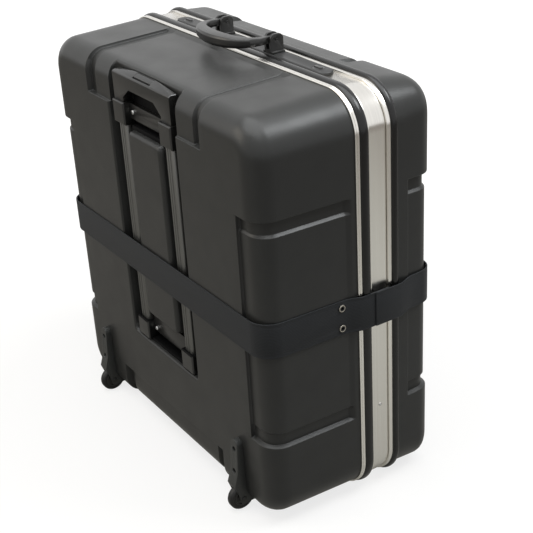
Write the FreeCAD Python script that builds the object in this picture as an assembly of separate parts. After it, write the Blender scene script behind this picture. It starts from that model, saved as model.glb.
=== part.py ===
import FreeCAD, Part
import math
import os

# Hard travel case for a folding bicycle. Two moulded shells stand in aluminium frames that
# meet at a seam. The trolley side faces -Y, the lid faces +Y, +Z is up, and the case stands
# on its wheels and its frame bumpers at z = 0. All lengths are in millimetres.

os.makedirs("parts", exist_ok=True)
V = FreeCAD.Vector
X_AXIS = V(1, 0, 0)
Y_AXIS = V(0, 1, 0)
Z_AXIS = V(0, 0, 1)
SIDES = (-1, 1)

# Frame ring over the bead, seen from the front
ring_width = 655.0
ring_height = 679.0
ring_corner = 63.5

# Bands of the ring along the depth, from the trolley side to the lid
bead_width = 8.0
bead_edge = 1.2
bead_groove = 1.0
base_bumper_width = 15.0
channel_width = 34.0
seam_gap = 0.4
lid_rim_width = 7.0
lid_bumper_width = 12.5

# Levels of the ring's bands, from the crest of the bead
bumper_proud = 3.0
bumper_crown = 2.0
bumper_slope_share = 0.25
channel_sink = 4.0
rim_sink = 1.3
rib_sink = 1.2
rib_width = 2.2
frame_wall = 2.0
slot_gap = 0.15
slot_depth = 5.0
flange_length = 2.0
tongue_length = 6.0
tongue_gap = 0.3
lip_line = 0.8

# Shells
face_depth = 170.0
lid_depth = 73.5
shell_overhang = 3.0
shell_wall = 3.0
shell_draft_degrees = 1.9
edge_round = 36.0
lid_edge_round = 28.0
band_bend_ease = 2.0
band_sink = 2.5
groove_sink = 7.5
groove_width = 23.0
groove_lean = 1.2
band_chamfer = 1.0
side_band_height = 376.0
base_side_lip = 16.0
base_top_lip = 10.0
lid_band_lip = 27.0
top_band_width = 360.0
bottom_band_width = 342.0
side_band_front = 263.0
top_band_front = 262.0
bottom_band_front = 265.0
side_band_back = 276.0
top_band_back = 276.0
overrun = 6.0

# Trolley recess in the face of the base shell
recess_width = 214.0
recess_floor = 22.0
recess_bottom_height = 181.0
recess_round = 10.0
island_width = 101.0
island_bottom_height = 240.0
island_top_height = 569.0
island_sink = 1.0
island_round = 8.0

# Trolley
tube_spacing = 150.0
tube_width = 26.0
tube_depth = 14.0
tube_wall = 1.6
tube_sink = 5.5
tube_round = 5.0
tube_flute_width = 3.2
tube_flute_depth = 0.8
tube_flute_spacing = 7.0
slide_gap = 0.4
bracket_width = 36.0
top_bracket_height = 38.0
top_bracket_top = 614.0
bottom_bracket_height = 35.0
bottom_bracket_base = 183.0
bracket_face_sink = 0.6
bracket_cap = 4.0
bridge_height = 25.0
bridge_sink = 14.0
top_bridge_drop = 28.0
bottom_bridge_lift = 5.0
bracket_round = 3.0
screw_spacing = 96.0
screw_head = 7.0
screw_head_height = 2.4
screw_shank = 4.0
inner_tube_foot = 24.0

# Trolley grip
grip_width = 182.0
grip_height = 45.0
grip_depth = 15.0
grip_crown_width = 62.0
grip_crown_rise = 8.5
grip_end_rise = 2.0
grip_window_top_width = 80.0
grip_window_bottom_width = 122.0
grip_window_height = 24.0
grip_window_side = 8.0
grip_rest_gap = 0.3
grip_sink = 5.0
grip_edge = 1.0
socket_depth = 12.0
button_length = 54.0
button_depth = 8.0
button_back = 1.6
button_height = 11.0
button_proud = 0.4
button_travel = 4.0
button_gap = 0.3
button_round = 0.9
finger_slot = 2.6
finger_slot_depth = 2.0
rod_diameter = 4.5
rod_bar_height = 5.0
rod_foot = 40.0

# Wheels and their forks
wheel_diameter = 46.0
wheel_width = 14.0
wheel_inset = 100.5
axle_reach = 5.0
axle_diameter = 6.0
axle_head = 9.0
axle_head_height = 1.5
axle_gap = 0.05
hub_diameter = 30.0
hub_dish = 2.5
tyre_edge = 3.0
wheel_gap = 0.8
wheel_well_gap = 4.0
fork_wall = 3.6
fork_top_width = 19.0
fork_top_height = 134.0
fork_top_proud = 10.0
fork_waist_height = 76.0
fork_waist_proud = 14.0
fork_brow_height = 52.0
fork_brow_proud = 21.0
fork_toe_height = 14.0
fork_screw_heights = (117.0, 76.0)
fork_screw_bore = 9.0
fork_screw_sink = 4.0
fork_screw_shank = 4.5
fork_edge = 1.5

# Hinges under the seam
hinge_spacing = 340.0
hinge_length = 60.0
knuckle_diameter = 6.4
knuckle_gap = 0.3
hinge_height = 3.6
hinge_pin = 3.0
hinge_leaf = 1.2
hinge_leaf_reach = 24.0

# Locks and carry handle on the top channel
plate_length = 432.0
plate_width = 27.0
plate_height = 4.2
lock_spacing = 376.0
lock_disc = 20.0
lock_disc_rise = 1.2
lock_bar_width = 5.0
lock_bar_rise = 2.0
lock_spindle = 8.0
lock_gap = 0.3
lock_drop = 16.0
hook_length = 9.0
hook_width = 8.0
hook_height = 3.0
strike_arm = 3.5
strike_clearance = 1.0
strike_bar = 5.0
post_spacing = 144.0
post_width = 18.0
post_depth = 24.0
post_height = 30.0
post_slot = 9.0
post_web = 6.0
post_foot = 3.0
post_foot_margin = 4.0
handle_pin = 5.0
handle_pin_drop = 9.0
handle_pin_head = 0.6
handle_eye = 13.0
handle_tang_gap = 0.3
handle_reach = 52.0
handle_neck = 2.0
handle_bar_width = 24.0
handle_bar_height = 18.0
handle_end_width = 11.0
bow_flat_share = 0.7
bow_section_shares = (
    (-1, -0.4), (-0.6, -1), (0.6, -1), (1, -0.4), (1, 0.6), (0.8, 1), (-0.8, 1), (-1, 0.6))

# Strap round the middle of the case
strap_width = 57.0
strap_thickness = 2.0
strap_gap = 0.3
strap_rivet_setback = 33.0
strap_rivet_spacing = 34.0
strap_lift = 26.0
rivet_head = 11.5
rivet_bore = 5.0
rivet_shank = 8.0
rivet_head_height = 1.6
lap_length = 30.0
strap_end_gap = 3.0

# Small rivet that joins the ends of the base frame
joint_rivet_height = 161.0
joint_rivet_head = 5.0
joint_rivet_rise = 0.8

# Stations along the depth of the case, and the place of the wheels across it
ring_depth = (
    bead_width + base_bumper_width + channel_width + seam_gap + lid_rim_width + lid_bumper_width
)
wheel_spacing = ring_width - 2 * wheel_inset
front_reach = face_depth - bead_width / 2 + axle_reach + wheel_diameter / 2
back_reach = ring_depth + lid_depth + strap_gap + strap_thickness
ring_start = (front_reach - back_reach) / 2
base_mouth = ring_start + bead_width / 2
base_bumper_start = ring_start + bead_width
channel_start = base_bumper_start + base_bumper_width
seam = channel_start + channel_width
rim_start = seam + seam_gap
lid_bumper_start = rim_start + lid_rim_width
ring_end = lid_bumper_start + lid_bumper_width
lid_mouth = ring_end - slot_depth
face = base_mouth - face_depth
back = ring_end + lid_depth
ring_middle = ring_height / 2 + bumper_proud
ring_top = ring_height + bumper_proud
draft = math.tan(math.radians(shell_draft_degrees))
lip_under = slot_gap - shell_overhang
slot_floor = -shell_overhang - shell_wall - slot_gap - draft * (slot_depth + flange_length)
flange_under = slot_floor - frame_wall
web_under = -channel_sink - frame_wall


def box(low, high):
    """Block between two opposite corners."""
    size = high.sub(low)
    return Part.makeBox(size.x, size.y, size.z, low)


def centred_box(centre, width, depth, height):
    """Block about its centre."""
    half = V(width, depth, height) * 0.5
    return box(centre.sub(half), centre.add(half))


def rod(start, way, length, diameter):
    """Round bar from a point along a direction."""
    return Part.makeCylinder(diameter / 2, length, start, way)


def prism(points, way):
    """Flat outline with straight edges, pushed along a vector."""
    wire = Part.makePolygon(list(points) + [points[0]])
    return Part.Face(wire).extrude(way)


def save(name, *solids):
    """Write one node from one or more separate solids."""
    shape = solids[0] if len(solids) == 1 else Part.makeCompound(list(solids))
    shape.exportStep("parts/" + name + ".step")


def cut_all(shape, tools):
    """Take several tools out of a shape."""
    for tool in tools:
        shape = shape.cut(tool)
    return shape


def outline(width, height, corner, y):
    """Rectangle with round corners at one station, about the middle of the ring."""
    x = width / 2
    z = height / 2
    bend = corner * (1 - math.sqrt(0.5))
    edges = []
    for sx, sz in ((1, 1), (-1, 1), (-1, -1), (1, -1)):
        side = V(sx * x, y, ring_middle + sz * (z - corner))
        middle = V(sx * (x - bend), y, ring_middle + sz * (z - bend))
        end = V(sx * (x - corner), y, ring_middle + sz * z)
        if sx * sz > 0:
            edges.append(Part.Arc(side, middle, end).toShape())
        else:
            edges.append(Part.Arc(end, middle, side).toShape())
    joined = []
    for arc, following in zip(edges, edges[1:] + edges[:1]):
        joined.append(arc)
        joined.append(Part.makeLine(arc.valueAt(arc.LastParameter),
                                    following.valueAt(following.FirstParameter)))
    return Part.Wire(joined)


class Half:
    """One half of the case: the mouth of its shell, its closed face, its round edge and its way."""

    def __init__(self, mouth, closed_face, edge):
        self.mouth = mouth
        self.face = closed_face
        self.edge = edge
        self.way = math.copysign(1, closed_face - mouth)

    def inset(self, y):
        """How far the drafted sides have come in at a station."""
        return draft * (y - self.mouth) * self.way

    def side(self, extent, y):
        """Distance of a side from the middle of the case at a station."""
        return extent / 2 - shell_overhang - self.inset(y)


base = Half(base_mouth, face, edge_round)
lid = Half(lid_mouth, back, lid_edge_round)


def shell_blank(half, wall):
    """Drafted body with a round edge along its closed face, drawn in by a wall."""
    open_end = half.mouth - half.way * (overrun if wall else 0)
    closed_end = half.face - half.way * wall
    wires = []
    for y in (open_end, closed_end):
        drawn_in = shell_overhang + half.inset(y) + wall
        wires.append(outline(
            ring_width - 2 * drawn_in, ring_height - 2 * drawn_in, ring_corner - drawn_in, y))
    body = Part.makeLoft(wires, True, True)
    rim = [e for e in body.Edges if all(abs(v.Y - closed_end) < slot_gap for v in e.Vertexes)]
    return body.makeFillet(half.edge - wall, rim)


def band_tool(half, out, across, extent, width, lip, front_end, wall):
    """Sunken band across one side with a deeper groove at each end, bent onto the closed face."""
    middle = V(0, 0, ring_middle)
    start_y = half.mouth + half.way * lip
    corner = V(half.side(extent, half.face), half.face)
    start = V(half.side(extent, start_y), start_y)
    run = corner.sub(start).normalize()
    start = start.sub(run * wall)
    turn = V(-1, 0)
    bend = half.edge + band_bend_ease
    reach = bend / math.tan(run.negative().getAngle(turn) / 2)
    bisector = run.negative().add(turn).normalize()
    sag = bend / math.sin(run.negative().getAngle(turn) / 2) - bend

    def place(flat):
        return middle.add(out * flat.x).add(Y_AXIS * flat.y)

    bend_start = corner.sub(run * reach)
    bend_end = corner.add(turn * reach)
    finish = V(front_end - wall, half.face)
    path = Part.Wire([
        Part.makeLine(place(start), place(bend_start)),
        Part.Arc(place(bend_start), place(corner.add(bisector * sag)), place(bend_end)).toShape(),
        Part.makeLine(place(bend_end), place(finish)),
    ])
    inward = out * -abs(run.y) + Y_AXIS * (run.x * math.copysign(1, run.y))
    edge = width / 2 + wall
    inner = width / 2 - groove_width - wall
    deep = groove_sink + wall
    half_profile = (
        (edge + band_chamfer + overrun, -overrun),
        (edge, band_chamfer),
        (edge - groove_lean, deep),
        (inner + groove_lean, deep),
        (inner, band_sink + wall),
    )
    profile = list(half_profile) + [(-s, d) for s, d in reversed(half_profile)]
    points = [place(start).add(across * s).add(inward * d) for s, d in profile]
    return path.makePipeShell([Part.makePolygon(points + [points[0]])], True, False)


def band_tools(half, side_lip, top_lip, side_front, top_front, bottom_front, wall):
    """The four sunken bands of one shell."""
    sides = (
        (X_AXIS, Z_AXIS, ring_width, side_band_height, side_lip, side_front),
        (-X_AXIS, Z_AXIS, ring_width, side_band_height, side_lip, side_front),
        (Z_AXIS, X_AXIS, ring_height, top_band_width, top_lip, top_front),
        (-Z_AXIS, X_AXIS, ring_height, bottom_band_width, top_lip, bottom_front),
    )
    return [band_tool(half, out, across, extent, width, lip, end, wall)
            for out, across, extent, width, lip, end in sides]


def recess_tool(wall):
    """Pocket for the trolley, open at the top, with the raised panel left standing in it."""
    low = V(-recess_width / 2 - wall, face - overrun, recess_bottom_height - wall)
    high = V(recess_width / 2 + wall, face + recess_floor + wall, ring_top + overrun)
    pocket = box(low, high)
    feet = [e for e in pocket.Edges
            if all(abs(v.Z - low.z) < slot_gap for v in e.Vertexes) and len(set(
                round(v.X, 3) for v in e.Vertexes)) == 1]
    pocket = pocket.makeFillet(recess_round + wall, feet)
    island = box(V(-island_width / 2 + wall, face + island_sink + wall, island_bottom_height + wall),
                 V(island_width / 2 - wall, high.y + overrun, island_top_height - wall))
    brow = [e for e in island.Edges
            if sum(abs(v.Y - face - island_sink - wall) < slot_gap for v in e.Vertexes) == 2]
    island = island.makeFillet(island_round - wall, brow)
    return pocket.cut(island)


def well_tools(wall):
    """Round hollows behind the two wheels."""
    radius = wheel_diameter / 2 + wheel_well_gap + wall
    length = wheel_width + 2 * (wheel_gap + wall)
    tools = []
    for side in SIDES:
        start = V(side * wheel_spacing / 2 - length / 2, axle_y, wheel_diameter / 2)
        tools.append(Part.makeCylinder(radius, length, start, X_AXIS))
    return tools


axle_y = face - axle_reach
strap_height = ring_middle
rivet_y = base_mouth - strap_rivet_setback
side_level = base.side(ring_width, rivet_y) - band_sink


def rivet_holes():
    """Bores for the strap rivets through both sides of the base shell and the strap."""
    holes = []
    for side in SIDES:
        for level in SIDES:
            start = V(side * (side_level - shell_wall - overrun), rivet_y,
                      strap_height + level * strap_rivet_spacing / 2)
            reach = shell_wall + strap_thickness + 4 * overrun
            holes.append(rod(start, X_AXIS * side, reach, rivet_shank))
    return holes


# Moulded shells
base_blank = shell_blank(base, 0)
base_outer = cut_all(base_blank, band_tools(
    base, base_side_lip, base_top_lip, side_band_front, top_band_front, bottom_band_front, 0))
base_outer = cut_all(base_outer, [recess_tool(0)] + well_tools(0))
base_inner = cut_all(shell_blank(base, shell_wall), band_tools(
    base, base_side_lip, base_top_lip, side_band_front, top_band_front, bottom_band_front, shell_wall))
base_inner = cut_all(base_inner, [recess_tool(shell_wall)] + well_tools(shell_wall))
base_shell = cut_all(base_outer.cut(base_inner), rivet_holes())
save("base_shell", base_shell)

lid_outer = cut_all(shell_blank(lid, 0), band_tools(
    lid, lid_band_lip, lid_band_lip, side_band_back, top_band_back, top_band_back, 0))
lid_inner = cut_all(shell_blank(lid, shell_wall), band_tools(
    lid, lid_band_lip, lid_band_lip, side_band_back, top_band_back, top_band_back, shell_wall))
save("lid_shell", lid_outer.cut(lid_inner))


def ring_path():
    """Line of the bead's crest all round, from the middle of the right side."""
    whole = outline(ring_width, ring_height, ring_corner, 0)
    edges = list(whole.OrderedEdges)
    start = V(ring_width / 2, 0, ring_middle)
    first = Part.makeLine(start, V(ring_width / 2, 0, ring_middle + ring_height / 2 - ring_corner))
    last = Part.makeLine(V(ring_width / 2, 0, ring_middle - ring_height / 2 + ring_corner), start)
    rest = [e for e in edges if e.CenterOfMass.sub(start).Length > slot_gap]
    return Part.Wire(Part.__sortEdges__([first] + rest + [last]))


def ring_sweep(edges):
    """Extrusion of one frame section all round the case; x of the section points outwards."""
    wire = Part.Wire(Part.__sortEdges__(edges))
    wire.translate(V(ring_width / 2, 0, ring_middle))
    return ring_path().makePipeShell([wire], True, False)


def chain(points):
    """Straight section edges through points given as outward level and depth station."""
    flat = [V(level, y, 0) for level, y in points]
    return [Part.makeLine(a, b) for a, b in zip(flat, flat[1:])]


# Aluminium frames
base_frame = ring_sweep(chain([
    (lip_under, ring_start),
    (-bead_edge, ring_start),
    (0, ring_start + bead_edge),
    (0, base_mouth - bead_edge),
    (-bead_groove, base_mouth),
    (0, base_mouth + bead_edge),
    (0, base_bumper_start - bead_edge),
    (-bead_edge, base_bumper_start),
    (-channel_sink, base_bumper_start),
    (-channel_sink, channel_start),
    (-rib_sink, channel_start),
    (-rib_sink, channel_start + rib_width),
    (-channel_sink, channel_start + rib_width),
    (-channel_sink, seam),
    (web_under, seam),
    (web_under, base_bumper_start),
    (flange_under, base_mouth + frame_wall),
    (flange_under, ring_start - flange_length),
    (slot_floor, ring_start - flange_length),
    (slot_floor, base_mouth + slot_gap),
    (lip_under, base_mouth + slot_gap),
    (lip_under, ring_start),
]))
tongue_out = web_under - tongue_gap
lid_frame = ring_sweep(chain([
    (-rim_sink, rim_start),
    (-rim_sink, ring_end),
    (lip_under, ring_end),
    (lip_under, lid_mouth - slot_gap),
    (slot_floor, lid_mouth - slot_gap),
    (slot_floor, ring_end + flange_length),
    (flange_under, ring_end + flange_length),
    (flange_under, seam - tongue_length),
    (tongue_out, seam - tongue_length),
    (tongue_out, rim_start),
    (-rim_sink, rim_start),
]))


def bumper(seat, start, end):
    """Crowned plastic strip pressed into the frame."""
    shoulder = bumper_proud - bumper_crown
    slope = (end - start) * bumper_slope_share
    return ring_sweep(chain([
        (shoulder, start), (bumper_proud, start + slope), (bumper_proud, end - slope),
        (shoulder, end), (seat, end), (seat, start), (shoulder, start)]))


save("base_bumper", bumper(-channel_sink, base_bumper_start, channel_start))
save("lid_bumper", bumper(-rim_sink, lid_bumper_start, ring_end - lip_line))

# Hinges: two knuckles of the base hold one knuckle of the lid
hinge_y = seam + seam_gap / 2
knuckle_length = (hinge_length - 2 * knuckle_gap) / 3
channel_floor = bumper_proud + channel_sink
rim_floor = bumper_proud + rim_sink
base_leaves = []
lid_leaves = []
hinge_pins = []
hinge_notches = []
for side in SIDES:
    hinge_x = side * hinge_spacing / 2 - hinge_length / 2
    axis_start = V(hinge_x, hinge_y, hinge_height)
    bore = rod(axis_start, X_AXIS, hinge_length, hinge_pin + 2 * axle_gap)
    hinge_pins.append(rod(axis_start, X_AXIS, hinge_length, hinge_pin))
    leaf = box(V(hinge_x, seam - hinge_leaf_reach, channel_floor - hinge_leaf),
               V(hinge_x + hinge_length, seam - knuckle_diameter / 2 - knuckle_gap, channel_floor))
    for place in range(3):
        start = axis_start.add(X_AXIS * place * (knuckle_length + knuckle_gap))
        knuckle = rod(start, X_AXIS, knuckle_length, knuckle_diameter)
        if place == 1:
            tab = box(V(start.x, hinge_y, rim_floor - hinge_leaf),
                      V(start.x + knuckle_length, lid_bumper_start, rim_floor))
            lid_leaves.append(knuckle.fuse(tab).cut(bore).removeSplitter())
        else:
            tab = box(V(start.x, seam - hinge_leaf_reach, channel_floor - hinge_leaf),
                      V(start.x + knuckle_length, hinge_y, channel_floor))
            leaf = leaf.fuse(knuckle).fuse(tab.cut(box(
                V(start.x, hinge_y - knuckle_gap, hinge_height),
                V(start.x + knuckle_length, hinge_y, channel_floor))))
    base_leaves.append(leaf.cut(bore).removeSplitter())
    notch_reach = knuckle_diameter / 2 + knuckle_gap
    hinge_notches.append(box(
        V(hinge_x - knuckle_gap, rim_start - overrun, hinge_height - notch_reach),
        V(hinge_x + hinge_length + knuckle_gap, hinge_y + notch_reach, hinge_height + notch_reach)))
save("hinge_base_leaves", *base_leaves)
save("hinge_lid_leaves", *lid_leaves)
save("hinge_pins", *hinge_pins)

# Locks: a turned disc on the plate carries a hook under the frame, which holds the lid's strike
plate_y = (channel_start + rib_width + seam) / 2
plate_seat = ring_top - channel_sink
plate_top = plate_seat + plate_height
plate = box(V(-plate_length / 2 + plate_width / 2, plate_y - plate_width / 2, plate_seat),
            V(plate_length / 2 - plate_width / 2, plate_y + plate_width / 2, plate_top))
for side in SIDES:
    end = V(side * (plate_length - plate_width) / 2, plate_y, plate_seat)
    plate = plate.fuse(rod(end, Z_AXIS, plate_height, plate_width))
plate = plate.removeSplitter()
rim = [e for e in plate.Edges if all(abs(v.Z - plate_top) < slot_gap for v in e.Vertexes)]
plate = plate.makeChamfer(axle_head_height, rim)
hook_top = ring_top - shell_overhang - lock_drop
spindle_bores = []
strikes = []
for side, name in zip(SIDES, ("left", "right")):
    centre = V(side * lock_spacing / 2, plate_y, plate_seat)
    pocket = rod(centre.add(Z_AXIS * (plate_height - lock_disc_rise - lock_gap)), Z_AXIS,
                 plate_height, lock_disc + 2 * lock_gap)
    spindle_bore = rod(centre.sub(Z_AXIS * lock_drop), Z_AXIS, plate_height + lock_drop,
                       lock_spindle + 2 * axle_gap)
    plate = plate.cut(pocket).cut(spindle_bore)
    spindle_bores.append(spindle_bore)
    disc_base = centre.add(Z_AXIS * (plate_height - lock_disc_rise))
    hook_low = hook_top - hook_height
    disc = rod(disc_base, Z_AXIS, lock_disc_rise, lock_disc)
    bar = centred_box(disc_base.add(Z_AXIS * (lock_disc_rise + lock_bar_rise / 2)),
                      lock_disc - 2 * lock_bar_rise, lock_bar_width, lock_bar_rise)
    spindle = rod(V(centre.x, centre.y, hook_top), Z_AXIS, disc_base.z - hook_top, lock_spindle)
    save("lock_disc_" + name, disc.fuse(bar).fuse(spindle).removeSplitter())
    hook = box(V(centre.x - hook_width / 2, plate_y, hook_low),
               V(centre.x + hook_width / 2, plate_y + hook_length, hook_top))
    hook = hook.fuse(rod(V(centre.x, centre.y, hook_low), Z_AXIS, hook_height, hook_width))
    save("lock_hook_" + name, hook.removeSplitter())
    arm_x = centre.x + math.hypot(hook_length, hook_width / 2) + strike_clearance
    bar_y = plate_y - hook_width / 2 - strike_clearance
    arm = box(V(arm_x, bar_y - strike_bar, hook_low),
              V(arm_x + strike_arm, rim_start + strike_bar, hook_top))
    catch = box(V(centre.x + hook_width / 2 + strike_clearance, bar_y - strike_bar, hook_low),
                V(arm_x + strike_arm, bar_y, hook_top))
    riser = box(V(arm_x, rim_start, hook_low),
                V(arm_x + strike_arm, rim_start + strike_bar, ring_top + flange_under))
    strikes.append(arm.fuse(catch).fuse(riser).removeSplitter())
save("lock_strikes", *strikes)

# Small rivet that closes the joint of the base frame, in the channel on the right
joint_y = (channel_start + rib_width + seam) / 2
channel_side = ring_width / 2 - channel_sink
joint_bore = rod(V(channel_side - frame_wall, joint_y, joint_rivet_height), X_AXIS,
                 frame_wall + joint_rivet_rise, joint_rivet_head / 2)
joint_head = rod(V(channel_side, joint_y, joint_rivet_height), X_AXIS,
                 joint_rivet_rise, joint_rivet_head)
save("frame_joint_rivet", joint_head.fuse(joint_bore).removeSplitter())
save("base_frame", cut_all(base_frame, spindle_bores + [joint_bore]))
save("lid_frame", cut_all(lid_frame, hinge_notches))

# Carry handle: forked posts on the plate, pins, and a bow folded forward over the base
pin_height = plate_top + post_height - handle_pin_drop
posts = []
pins = []
for side in SIDES:
    post_x = side * post_spacing / 2
    post = box(V(post_x - post_width / 2, plate_y - post_depth / 2, plate_top),
               V(post_x + post_width / 2, plate_y + post_depth / 2, plate_top + post_height))
    crown_edges = [e for e in post.Edges
                   if all(abs(v.Z - plate_top - post_height) < slot_gap for v in e.Vertexes)
                   and abs(e.Vertexes[0].X - e.Vertexes[1].X) > slot_gap]
    post = post.makeFillet(handle_pin_drop, crown_edges)
    foot_half = post_width / 2 + post_foot_margin
    foot = box(V(post_x - foot_half, plate_y - post_depth / 2, plate_top),
               V(post_x + foot_half, plate_y + post_depth / 2, plate_top + post_foot))
    slot = box(V(post_x - post_slot / 2, plate_y - post_depth, plate_top + post_web),
               V(post_x + post_slot / 2, plate_y + post_depth, plate_top + 2 * post_height))
    pin_start = V(post_x - post_width / 2 - handle_pin_head, plate_y, pin_height)
    pin_length = post_width + 2 * handle_pin_head
    pins.append(rod(pin_start, X_AXIS, pin_length, handle_pin))
    bore = rod(pin_start, X_AXIS, pin_length, handle_pin)
    posts.append(post.fuse(foot).cut(slot).cut(bore).removeSplitter())
save("handle_posts", *posts)
save("handle_pins", *pins)
save("lock_plate", plate)


def handle_bow():
    """Bow of the carry handle: a bar that swells towards the middle, bent in one wide curve."""
    span = post_spacing / 2
    tang = post_slot - 2 * handle_tang_gap
    neck_y = plate_y - post_depth / 2 - handle_neck
    stations = 8
    sections = []
    for step in range(stations + 1):
        angle = math.pi * (step / stations)
        swell = math.sin(angle)
        centre = V(-span * math.cos(angle), neck_y - handle_reach * swell ** bow_flat_share, pin_height)
        along = V(math.sin(angle), -math.cos(angle), 0)
        if step in (0, stations):
            along = V(0, -1 if step == 0 else 1, 0)
        across = along.cross(Z_AXIS).normalize()
        width = tang + (handle_bar_width - tang) * swell
        height = handle_end_width + (handle_bar_height - handle_end_width) * swell
        corners = [centre.add(across * (u * width / 2)).add(Z_AXIS * (w * height / 2))
                   for u, w in bow_section_shares]
        sections.append(Part.makePolygon(corners + [corners[0]]))
    bow = Part.makeLoft(sections, True, False)
    for side in SIDES:
        start = V(side * span - tang / 2, plate_y, pin_height)
        eye = rod(start, X_AXIS, tang, handle_eye)
        neck = box(V(side * span - tang / 2, neck_y, pin_height - handle_end_width / 2),
                   V(side * span + tang / 2, plate_y, pin_height + handle_end_width / 2))
        bow = bow.fuse(eye).fuse(neck)
    for side in SIDES:
        start = V(side * span - tang, plate_y, pin_height)
        bow = bow.cut(rod(start, X_AXIS, 2 * tang, handle_pin + 2 * axle_gap))
    return bow.removeSplitter()


save("handle_bow", handle_bow())


def rounded_bar(width, depth, corner, centre_x, front, low, high):
    """Upright bar of rounded rectangular section."""
    body = box(V(centre_x - width / 2, front, low), V(centre_x + width / 2, front + depth, high))
    uprights = [e for e in body.Edges if abs(e.Vertexes[0].Z - e.Vertexes[1].Z) > slot_gap]
    return body.makeFillet(corner, uprights)


# Telescopic trolley in the recess
tube_front = face + tube_sink
bore_front = tube_front + tube_wall
inner_width = tube_width - 2 * (tube_wall + slide_gap)
inner_depth = tube_depth - 2 * (tube_wall + slide_gap)
inner_front = bore_front + slide_gap
inner_round = tube_round - tube_wall - slide_gap
grip_bottom = top_bracket_top + grip_rest_gap
tube_low = bottom_bracket_base + bracket_cap
tube_high = top_bracket_top - bracket_cap
top_bridge_base = top_bracket_top - top_bridge_drop
bottom_bridge_base = bottom_bracket_base + bottom_bridge_lift
outer_tubes = []
inner_tubes = []
for side in SIDES:
    tube_x = side * tube_spacing / 2
    tube = rounded_bar(tube_width, tube_depth, tube_round, tube_x, tube_front, tube_low, tube_high)
    tube = tube.cut(rounded_bar(tube_width - 2 * tube_wall, tube_depth - 2 * tube_wall,
                                tube_round - tube_wall, tube_x, bore_front, tube_low, tube_high))
    for flute in SIDES:
        tube = tube.cut(centred_box(
            V(tube_x + flute * tube_flute_spacing / 2, tube_front, (tube_low + tube_high) / 2),
            tube_flute_width, 2 * tube_flute_depth, tube_high - tube_low))
    outer_tubes.append(tube)
    inner = rounded_bar(inner_width, inner_depth, inner_round, tube_x, inner_front,
                        tube_low + inner_tube_foot, grip_bottom + socket_depth)
    inner_tubes.append(inner.cut(rounded_bar(
        inner_width - 2 * tube_wall, inner_depth - 2 * tube_wall, inner_round / 2, tube_x,
        inner_front + tube_wall, tube_low, grip_bottom + socket_depth)))
save("outer_tubes", *outer_tubes)
save("inner_tubes", *inner_tubes)


def bracket(low, height, bridge_low, tube_cap_low, tube_cap_high):
    """Pair of blocks that hold the outer tubes, joined by a bridge screwed to the recess floor."""
    floor = face + recess_floor
    front = face + bracket_face_sink
    blocks = []
    for side in SIDES:
        tube_x = side * tube_spacing / 2
        block = box(V(tube_x - bracket_width / 2, front, low),
                    V(tube_x + bracket_width / 2, floor, low + height))
        brow = [e for e in block.Edges if all(abs(v.Y - front) < slot_gap for v in e.Vertexes)]
        block = block.makeFillet(bracket_round, brow)
        block = block.cut(rounded_bar(tube_width, tube_depth, tube_round, tube_x, tube_front,
                                      max(low, tube_cap_low), min(low + height, tube_cap_high)))
        blocks.append(block)
    bridge = box(V(-tube_spacing / 2 + bracket_width / 2, face + bridge_sink, bridge_low),
                 V(tube_spacing / 2 - bracket_width / 2, floor, bridge_low + bridge_height))
    return blocks[0].fuse(blocks[1]).fuse(bridge)


top_bracket = bracket(
    top_bracket_top - top_bracket_height, top_bracket_height, top_bridge_base, 0, tube_high)
bottom_bracket = bracket(
    bottom_bracket_base, bottom_bracket_height, bottom_bridge_base, tube_low, ring_top)
for side in SIDES:
    tube_x = side * tube_spacing / 2
    top_bracket = top_bracket.cut(rounded_bar(
        inner_width + 2 * slide_gap, inner_depth + 2 * slide_gap, inner_round + slide_gap, tube_x,
        bore_front, tube_high - overrun, top_bracket_top + overrun))
screws = []
for bridge_low in (top_bridge_base, bottom_bridge_base):
    for side in SIDES:
        seat = V(side * screw_spacing / 2, face + bridge_sink, bridge_low + bridge_height / 2)
        shank = rod(seat, Y_AXIS, recess_floor - bridge_sink, screw_shank)
        head = rod(seat.sub(Y_AXIS * screw_head_height), Y_AXIS, screw_head_height, screw_head)
        screws.append(head.fuse(shank).removeSplitter())
        top_bracket = top_bracket.cut(shank)
        bottom_bracket = bottom_bracket.cut(shank)
save("top_bracket", top_bracket.removeSplitter())
save("bottom_bracket", bottom_bracket.removeSplitter())
save("bracket_screws", *screws)

# Trolley grip with its release button
grip_front = face + grip_sink
grip_top = grip_bottom + grip_height
grip_middle = grip_front + grip_depth / 2
button_middle = grip_front + grip_depth - button_back - button_depth / 2
crown = grip_top + grip_crown_rise
ends = grip_top + grip_end_rise
slope = grip_crown_rise / grip_depth
grip = prism([V(-grip_width / 2, grip_front, grip_bottom), V(grip_width / 2, grip_front, grip_bottom),
              V(grip_width / 2, grip_front, ends), V(grip_crown_width / 2, grip_front, crown),
              V(-grip_crown_width / 2, grip_front, crown), V(-grip_width / 2, grip_front, ends)],
             Y_AXIS * grip_depth)


def above_slope(rise):
    """Everything above the plane that climbs from the grip's front edge to its crown, moved up by a rise."""
    front = grip_front - overrun
    rear = grip_front + grip_depth + overrun
    return prism([V(-grip_width, front, grip_top + rise - slope * overrun),
                  V(-grip_width, rear, crown + rise + slope * overrun),
                  V(-grip_width, rear, crown + grip_height),
                  V(-grip_width, front, crown + grip_height)], X_AXIS * 2 * grip_width)


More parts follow.
